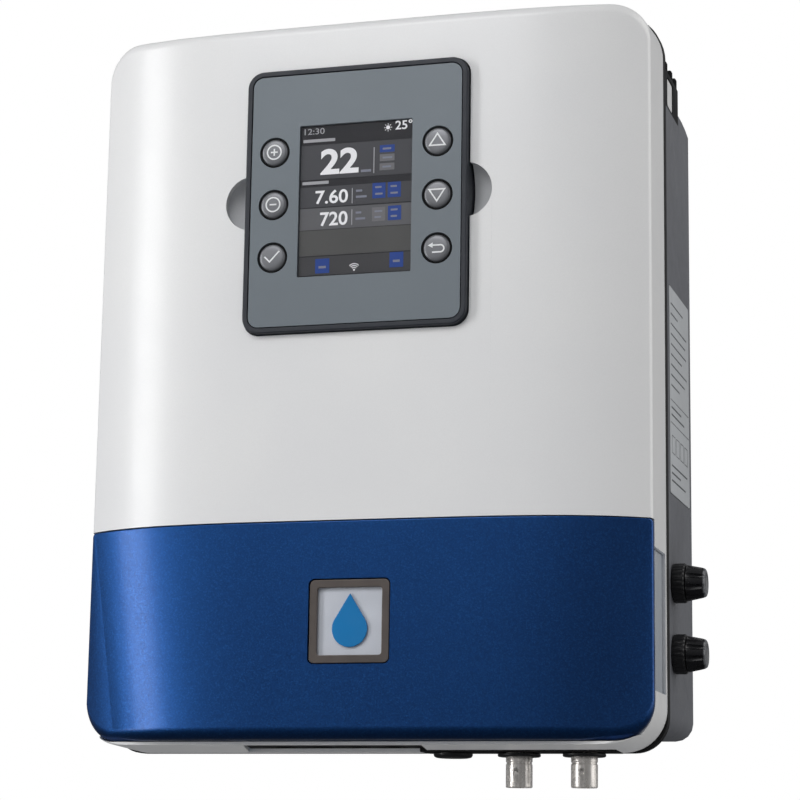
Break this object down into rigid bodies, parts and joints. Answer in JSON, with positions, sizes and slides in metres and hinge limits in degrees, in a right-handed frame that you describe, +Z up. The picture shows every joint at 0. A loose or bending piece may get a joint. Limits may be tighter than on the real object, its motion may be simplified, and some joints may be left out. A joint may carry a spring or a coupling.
{
  "type": "salt chlorine generator",
  "caption": "Wall-hung pool salt chlorine generator control unit: bowed white shell, blue lower door, docking display with keys, fuse holders and coaxial sockets.",
  "frame": {"origin": "middle of the flat rear face that lies against the wall", "axes": "+X to the right seen from the front, +Y into the wall, +Z up"},
  "size_m": [0.2239, 0.1055, 0.2896],
  "materials": {
    "white_shell": "satin moulded white",
    "blue_door": "satin metallic blue with a fine sparkle",
    "black_plastic": "satin",
    "dark_casing": "fine moulded grain",
    "label": "matt printed film",
    "grey_tub": "satin",
    "rubber": "matt",
    "circuit_board": "solder mask",
    "capacitor_sleeve": "sleeve",
    "winding": "varnished winding",
    "steel": "zinc plated",
    "heat_sink": "extruded",
    "green_terminal": "satin",
    "fuse_cap": "gloss",
    "fuse_glass": "clear",
    "nickel": "bright nickel",
    "insulator": "matt",
    "display_frame": "satin",
    "display_face": "fine grain",
    "screen_window": "clear",
    "lcd": "lit panel",
    "button": "metallic paint",
    "badge_frame": "satin",
    "badge_plate": "satin",
    "badge_emblem": "gloss dome"
  },
  "bodies": {
    "casing": {"front_cover": "white_shell", "mid_frame": "black_plastic", "rear_casing": "dark_casing", "rating_label": "label", "wiring_tub": "grey_tub", "cable_entry": "rubber", "display_dock": "grey_tub", "dock_socket": "black_plastic", "main_board": "circuit_board", "terminal_board": "circuit_board", "relay_1": "black_plastic", "relay_2": "black_plastic", "capacitor": "capacitor_sleeve", "transformer": "winding", "transformer_clamp": "steel", "transformer_bolt": "steel", "heat_sink": "heat_sink", "rectifier": "black_plastic", "mains_terminal": "black_plastic", "cell_terminal": "black_plastic", "relay_terminal": "green_terminal", "probe_terminal": "green_terminal", "cover_screw_left": "steel", "cover_screw_right": "steel", "fuse_holder_upper": "black_plastic", "fuse_holder_lower": "black_plastic", "fuse_nut_upper": "black_plastic", "fuse_nut_lower": "black_plastic", "bnc_jack_left": "nickel", "bnc_jack_right": "nickel", "bnc_insulator_left": "insulator", "bnc_insulator_right": "insulator", "bnc_washer_left": "rubber", "bnc_washer_right": "rubber", "blanking_plug": "rubber"},
    "display_module": {"display_case": "display_frame", "display_fascia": "display_face", "display_window": "screen_window", "lcd_panel": "lcd", "keypad_mat": "rubber", "display_board": "circuit_board"},
    "door": {"lower_cover": "blue_door", "badge_frame": "badge_frame", "badge_plate": "badge_plate", "badge_emblem": "badge_emblem"},
    "bracket": {"wall_bracket": "steel"},
    "key_plus": {"button_plus": "button"},
    "key_minus": {"button_minus": "button"},
    "key_ok": {"button_ok": "button"},
    "key_up": {"button_up": "button"},
    "key_down": {"button_down": "button"},
    "key_back": {"button_back": "button"},
    "fuse_carrier_upper": {"fuse_link_upper": "fuse_glass"},
    "fuse_knob_upper": {"fuse_cap_upper": "fuse_cap"},
    "fuse_carrier_lower": {"fuse_link_lower": "fuse_glass"},
    "fuse_knob_lower": {"fuse_cap_lower": "fuse_cap"}
  },
  "joints": [
    {"name": "display_undock", "type": "slide", "parent": "casing", "child": "display_module", "axis": [0, -1, 0], "range_m": [0, 0.045]},
    {"name": "door_pull_off", "type": "slide", "parent": "casing", "child": "door", "axis": [0, -1, 0], "range_m": [0, 0.045]},
    {"name": "bracket_lift_off", "type": "slide", "parent": "casing", "child": "bracket", "axis": [0, 0, -1], "range_m": [0, 0.01]},
    {"name": "press_plus", "type": "slide", "parent": "display_module", "child": "key_plus", "axis": [0, 1, 0], "range_m": [0, 0.0008], "stiffness_N_per_m": 900, "springref_m": -0.0006},
    {"name": "press_minus", "type": "slide", "parent": "display_module", "child": "key_minus", "axis": [0, 1, 0], "range_m": [0, 0.0008], "stiffness_N_per_m": 900, "springref_m": -0.0006},
    {"name": "press_ok", "type": "slide", "parent": "display_module", "child": "key_ok", "axis": [0, 1, 0], "range_m": [0, 0.0008], "stiffness_N_per_m": 900, "springref_m": -0.0006},
    {"name": "press_up", "type": "slide", "parent": "display_module", "child": "key_up", "axis": [0, 1, 0], "range_m": [0, 0.0008], "stiffness_N_per_m": 900, "springref_m": -0.0006},
    {"name": "press_down", "type": "slide", "parent": "display_module", "child": "key_down", "axis": [0, 1, 0], "range_m": [0, 0.0008], "stiffness_N_per_m": 900, "springref_m": -0.0006},
    {"name": "press_back", "type": "slide", "parent": "display_module", "child": "key_back", "axis": [0, 1, 0], "range_m": [0, 0.0008], "stiffness_N_per_m": 900, "springref_m": -0.0006},
    {"name": "fuse_pull_upper", "type": "slide", "parent": "casing", "child": "fuse_carrier_upper", "axis": [1, 0, 0], "range_m": [0, 0.032]},
    {"name": "fuse_turn_upper", "type": "hinge", "parent": "fuse_carrier_upper", "child": "fuse_knob_upper", "pos_m": [0.1055, -0.0407, -0.07], "axis": [-1, 0, 0], "range_deg": [0, 90]},
    {"name": "fuse_pull_lower", "type": "slide", "parent": "casing", "child": "fuse_carrier_lower", "axis": [1, 0, 0], "range_m": [0, 0.032]},
    {"name": "fuse_turn_lower", "type": "hinge", "parent": "fuse_carrier_lower", "child": "fuse_knob_lower", "pos_m": [0.1055, -0.0407, -0.096], "axis": [-1, 0, 0], "range_deg": [0, 90]}
  ]
}
